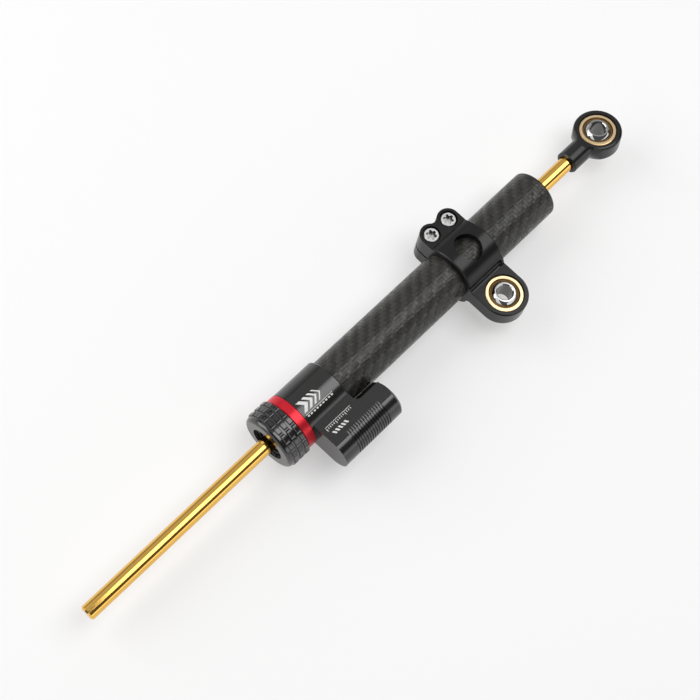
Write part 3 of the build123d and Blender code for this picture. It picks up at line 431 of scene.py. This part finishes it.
# Red ring: an aluminium ring, turned smooth and anodised red, pressed on the head's boss
# between head and knob.
ring_red = anodised("red_anodised", (0.62, 0.012, 0.026), 0.3, tube_axis, metallic=0.6, sheen=0.6)
dress(ring_red, "red_ring")

# Knob: turned aluminium with three fluted rows, anodised black to a brighter finish than the
# head. It turns on the head's spigot, and the thread inside it moves the adjuster nut.
knob_black = anodised(
    "knob_black_anodised", (0.007, 0.007, 0.007), 0.14, tube_axis,
    pitch=0.0004, depth=0.000002, sheen=0.9,
)
dress(knob_black, "adjuster_knob")

# Circlips, discs, needle and click spring: hardened spring steel, stamped, ground or wound. One
# circlip keeps the knob on, two hold the piston.
spring_steel, tree, shader = new_finish("spring_steel", (0.42, 0.41, 0.4), 0.25, 1.0)
spread(tree, shader, grain(tree, 600, 3.0), 0.18, 0.36)
tint(tree, shader, grain(tree, 250, 3.0), (0.34, 0.33, 0.32), (0.52, 0.51, 0.5))
relief(tree, shader, grain(tree, 3500, 2.0), 0.000004)
dress(
    spring_steel, "knob_circlip", "detent_spring", "piston_circlip_left", "piston_circlip_right",
    "piston_shims", "metering_needle",
)

# Wipers, seals, o-rings and bump stops: moulded black rubber. The wipers and seals are sprung
# into their grooves, and the front wiper closes the gland round the rod.
seal_rubber, tree, shader = new_finish("seal_rubber", (0.02, 0.02, 0.021), 0.62)
tint(tree, shader, grain(tree, 400, 3.0), (0.016, 0.016, 0.017), (0.03, 0.03, 0.03))
relief(tree, shader, grain(tree, 3000, 3.0), 0.00001)
dress(
    seal_rubber, "front_wiper", "rear_wiper", "front_seal", "rear_seal", "tube_oring", "cap_oring",
    "reservoir_oring", "needle_seal", "bump_stops", "floating_piston_ring",
)

# Adjuster nut and bushes: bearing bronze, turned. The nut is screwed into the knob, and the
# bushes guide the rod in the head and in the end cap.
bronze, tree, shader = new_finish("bearing_bronze", (0.5, 0.33, 0.14), 0.34, 1.0)
tint(tree, shader, grain(tree, 220, 3.0), (0.42, 0.27, 0.11), (0.58, 0.39, 0.17))
relief(tree, shader, turning_lines(tree, tube_axis, 0.0002), 0.000006)
dress(bronze, "adjuster_nut", "front_bush", "rear_bush")

# Pressure tube, piston, spacer and floating piston: bare aluminium, turned and honed. The
# carbon sleeve hides the tube.
bare_aluminium, tree, shader = new_finish("bare_aluminium", (0.7, 0.7, 0.71), 0.3, 1.0)
tint(tree, shader, grain(tree, 150, 3.0), (0.64, 0.64, 0.65), (0.76, 0.76, 0.77))
relief(tree, shader, turning_lines(tree, tube_axis, 0.00018), 0.000006)
dress(bare_aluminium, "pressure_tube", "piston", "front_spacer", "floating_piston")

# Guide band: a strip of filled plastic that lies in the piston's groove and slides on the
# tube's wall.
band_plastic, tree, shader = new_finish("guide_band", (0.22, 0.13, 0.06), 0.5)
tint(tree, shader, grain(tree, 500, 3.0), (0.18, 0.1, 0.045), (0.28, 0.17, 0.08))
relief(tree, shader, grain(tree, 2500, 2.0), 0.000008)
dress(band_plastic, "piston_band")

# Rod: hardened steel, ground and polished, with a gold coloured hard coating. Polishing runs
# along the rod, so faint streaks lie along X.
gold, tree, shader = new_finish("gold_hard_coating", (0.82, 0.5, 0.14), 0.1, 1.0)
tint(tree, shader, grain(tree, (12, 500, 500), 2.0), (0.78, 0.44, 0.085), (0.88, 0.55, 0.15))
spread(tree, shader, grain(tree, (6, 1600, 1600), 2.0), 0.06, 0.13)
dress(gold, "piston_rod")

# Carbon sleeve: two by two twill of tows nearly 2 mm wide, laid round the tube under clear
# lacquer. The diagonals run at 45 degrees to the tube.
sleeve_radius = 0.01305
tow_count = 44
tow_width = 2 * math.pi * sleeve_radius / tow_count
tow_waver = 0.9          # in tow widths
twill_repeat = 4.0       # in tows
warp_steps = 1.5         # the warp lies on top for the first two tows of a repeat
weave_depth = 0.00014
carbon, tree, shader = new_finish("carbon_twill", (0.02, 0.02, 0.021), 0.4)
x, y, z = place(tree, tube_axis)
waver_along = calc(tree, "MULTIPLY", grain(tree, (70, 160, 160), 2.0), tow_waver)
waver_around = calc(tree, "MULTIPLY", grain(tree, (160, 70, 70), 2.0), tow_waver)
along = calc(tree, "ADD", calc(tree, "DIVIDE", x, tow_width), waver_along)
around = calc(tree, "DIVIDE", calc(tree, "ARCTAN2", z, y), 2 * math.pi / tow_count)
around = calc(tree, "ADD", around, waver_around)
column = calc(tree, "FLOOR", along)
row = calc(tree, "FLOOR", around)
step = calc(tree, "FLOORED_MODULO", calc(tree, "ADD", column, row), twill_repeat)
warp_on_top = calc(tree, "LESS_THAN", step, warp_steps)


def pick(tree, factor, when_low, when_high):
    """when_low where factor is 0 and when_high where it is 1."""
    node = tree.nodes.new("ShaderNodeMix")
    node.data_type = "FLOAT"
    link(tree, factor, node.inputs["Factor"])
    link(tree, when_low, node.inputs["A"])
    link(tree, when_high, node.inputs["B"])
    return node.outputs["Result"]


part_along = calc(tree, "FRACT", along)
part_around = calc(tree, "FRACT", around)
across_tow = pick(tree, warp_on_top, part_along, part_around)
down_tow = pick(tree, warp_on_top, part_around, part_along)
down_float = calc(tree, "ADD", calc(tree, "FLOORED_MODULO", step, twill_repeat / 2), down_tow)
bulge = calc(tree, "SINE", calc(tree, "MULTIPLY", across_tow, math.pi))
crown = calc(tree, "SINE", calc(tree, "MULTIPLY", down_float, 2 * math.pi / twill_repeat))
fibres_along = grain(tree, (250, 9000, 9000), 1.0)
fibres_around = grain(tree, (9000, 250, 250), 1.0)
fibres = pick(tree, warp_on_top, fibres_around, fibres_along)
height = weighted(tree, (bulge, 0.5), (crown, 0.7), (fibres, 0.2))
cell = tree.nodes.new("ShaderNodeCombineXYZ")
link(tree, column, cell.inputs[0])
link(tree, row, cell.inputs[1])
chance = tree.nodes.new("ShaderNodeTexWhiteNoise")
chance.noise_dimensions = "2D"
link(tree, cell.outputs[0], chance.inputs["Vector"])
own_tone = chance.outputs["Value"]
clouds = grain(tree, 1100, 2.0)
# Partly painted sheen: warp and weft tows get different colours, standing in for the fibres'
# direction-dependent reflection; the random tone per cell and the clouds are the weave's own
# colour.
shade = weighted(tree, (warp_on_top, 0.34), (own_tone, 0.26), (clouds, 0.4))
tint(tree, shader, shade, (0.056, 0.054, 0.048), (0.004, 0.004, 0.0035))
spread(tree, shader, own_tone, 0.18, 0.42)
relief(tree, shader, height, weave_depth)
shader.inputs["Specular IOR Level"].default_value = 0.3
shader.inputs["Coat Weight"].default_value = 0.05
shader.inputs["Coat Roughness"].default_value = 0.2
dress(carbon, "carbon_sleeve")

# End cap: turned aluminium, black anodised, screwed into the far end of the tube. It shows as
# a thin dark rim.
end_black = anodised("end_cap_black", (0.015, 0.015, 0.016), 0.32, tube_axis)
dress(end_black, "end_cap")

# Clamp: milled aluminium, satin black, split through the ear and pulled tight by two screws.
# Its milled faces have no turning lines.
def milled_black(name, base, roughness, sheen):
    """Milled and bead blasted aluminium with a black skin."""
    material, tree, shader = new_finish(name, base, roughness)
    tint(tree, shader, grain(tree, 110, 3.0), *clouded(base))
    spread(tree, shader, grain(tree, 700, 2.0), roughness - 0.03, roughness + 0.03)
    relief(tree, shader, grain(tree, 4200, 3.0), 0.0000015)
    shader.inputs["Specular IOR Level"].default_value = sheen
    return material


clamp_black = milled_black("clamp_black_anodised", (0.007, 0.007, 0.0072), 0.24, 0.3)
dress(clamp_black, "clamp")

# Screws: plated steel, round heads with six-lobed sockets, sunk in the ear's counterbores. The
# gas valve screw and the click ball are as bright. Painted shade darkens the sockets' walls.
def reach(tree, centre, direction):
    """Distance of a surface point from the line through centre along direction, in metres."""
    coords = tree.nodes.new("ShaderNodeTexCoord")
    shifted = tree.nodes.new("ShaderNodeVectorMath")
    shifted.operation = "SUBTRACT"
    shifted.inputs[1].default_value = centre
    link(tree, coords.outputs["Object"], shifted.inputs[0])
    crossed = tree.nodes.new("ShaderNodeVectorMath")
    crossed.operation = "CROSS_PRODUCT"
    crossed.inputs[1].default_value = direction
    link(tree, shifted.outputs[0], crossed.inputs[0])
    measured = tree.nodes.new("ShaderNodeVectorMath")
    measured.operation = "LENGTH"
    link(tree, crossed.outputs[0], measured.inputs[0])
    return measured.outputs["Value"]


def paint_where(tree, shader, mask, colour):
    """Lays a colour over the base colour where mask is 1."""
    mix = tree.nodes.new("ShaderNodeMix")
    mix.data_type = "RGBA"
    link(tree, shader.inputs["Base Color"].links[0].from_socket, mix.inputs["A"])
    mix.inputs["B"].default_value = (*colour, 1)
    link(tree, mask, mix.inputs["Factor"])
    link(tree, mix.outputs["Result"], shader.inputs["Base Color"])


screw_bright, tree, shader = new_finish("bright_plated_steel", (0.72, 0.72, 0.73), 0.16, 1.0)
tint(tree, shader, grain(tree, 500, 3.0), (0.66, 0.66, 0.65), (0.82, 0.82, 0.81))
spread(tree, shader, grain(tree, 900, 2.0), 0.16, 0.28)
relief(tree, shader, grain(tree, 5000, 2.0), 0.000002)
screw_x = 0.0062
screw_y = 0.0449
socket_r = 0.00284
socket_top = 0.0111      # heights above the tube's axis
socket_floor = 0.0089
left_screw = reach(tree, (-screw_x, screw_y, 0), (0, 0, 1))
right_screw = reach(tree, (screw_x, screw_y, 0), (0, 0, 1))
near_axis = calc(tree, "LESS_THAN", calc(tree, "MINIMUM", left_screw, right_screw), socket_r)
z = place(tree)[2]
# Painted shade: the sockets' walls, below the head's top, are coloured nearly black.
socket_painted_shade = calc(tree, "MULTIPLY", near_axis, calc(tree, "LESS_THAN", z, socket_top))
paint_where(tree, shader, socket_painted_shade, (0.05, 0.05, 0.045))
# The sockets' floors are painted back to plain bright steel, outside the painted shade.
on_floor = calc(tree, "MULTIPLY", near_axis, calc(tree, "LESS_THAN", z, socket_floor))
paint_where(tree, shader, on_floor, (0.6, 0.6, 0.59))
dress(screw_bright, "clamp_screws", "gas_valve_screw", "detent_ball")

# Races: steel rings plated yellow, pressed into the clamp's lug and the rod end. Their rounded
# rims are painted browner as painted shade, and the chamfer inside gets painted shade.
rod_joint_roll = math.radians(8.4)
rod_joint_place = (0.1045, tube_axis[1], 0)
rod_joint_bolt = (0, math.sin(rod_joint_roll), math.cos(rod_joint_roll))


def from_joint_axis(tree):
    """Distance of a surface point from the nearer ball joint's axis, in metres."""
    to_clamp_joint = reach(tree, (0, 0, 0), (0, 0, 1))
    return calc(tree, "MINIMUM", to_clamp_joint, reach(tree, rod_joint_place, rod_joint_bolt))


race_yellow, tree, shader = new_finish("yellow_plated_race", (0.84, 0.62, 0.34), 0.27, 1.0)
tint(tree, shader, grain(tree, 350, 3.0), (0.88, 0.66, 0.38), (0.96, 0.76, 0.48))
spread(tree, shader, grain(tree, 700, 2.0), 0.27, 0.34)
relief(tree, shader, grain(tree, 4000, 2.0), 0.000001)
ring_middle = 0.0087     # radius in the middle of the race's flat face
ring_half = 0.0009
rim_power = 3.0          # the higher, the narrower the brown rims
chamfer_r = 0.00792
radius = from_joint_axis(tree)
off_middle = calc(tree, "ABSOLUTE", calc(tree, "SUBTRACT", radius, ring_middle))
rim_painted_shade = calc(tree, "POWER", calc(tree, "DIVIDE", off_middle, ring_half), rim_power)
# Painted shade: the rounded rims get a browner colour that grows towards the ring's edges.
paint_where(tree, shader, calc(tree, "MINIMUM", rim_painted_shade, 1.0), (0.5, 0.28, 0.1))
# Painted shade: the chamfer inside the race is coloured dark brown.
paint_where(tree, shader, calc(tree, "LESS_THAN", radius, chamfer_r), (0.26, 0.15, 0.05))
dress(race_yellow, "body_joint_race", "rod_joint_race")

# Liners: thin woven cloth with low friction, bonded inside the races. Only their edges show,
# round the balls.
liner_brown, tree, shader = new_finish("woven_liner", (0.2, 0.12, 0.045), 0.7)
tint(tree, shader, grain(tree, 1200, 3.0), (0.14, 0.08, 0.03), (0.28, 0.17, 0.07))
relief(tree, shader, grain(tree, 2600, 2.0), 0.00002)
dress(liner_brown, "body_joint_liner", "rod_joint_liner")

# Balls: hardened steel, ground and chromed, each with a bore for the 8 mm bolt that it turns
# on. The bore is coloured dark grey as painted shade inside the hole.
ball_bright, tree, shader = new_finish("polished_chrome", (0.66, 0.66, 0.67), 0.08, 1.0)
tint(tree, shader, grain(tree, 300, 2.0), (0.4, 0.4, 0.4), (0.52, 0.52, 0.52))
spread(tree, shader, grain(tree, 1500, 2.0), 0.05, 0.13)
relief(tree, shader, grain(tree, 3000, 2.0), 0.0000008)
bore_r = 0.00404
# Painted shade: the bore's wall is coloured dark grey.
bore_painted_shade = calc(tree, "LESS_THAN", from_joint_axis(tree), bore_r)
paint_where(tree, shader, bore_painted_shade, (0.16, 0.16, 0.155))
dress(ball_bright, "body_joint_ball", "rod_joint_ball")

# Rod end: turned and milled aluminium, satin black, screwed on the rod's stud. Its flat eye
# holds the second ball joint.
rod_end_black = milled_black("rod_end_black_anodised", (0.008, 0.008, 0.008), 0.22, 0.42)
dress(rod_end_black, "rod_end_housing")
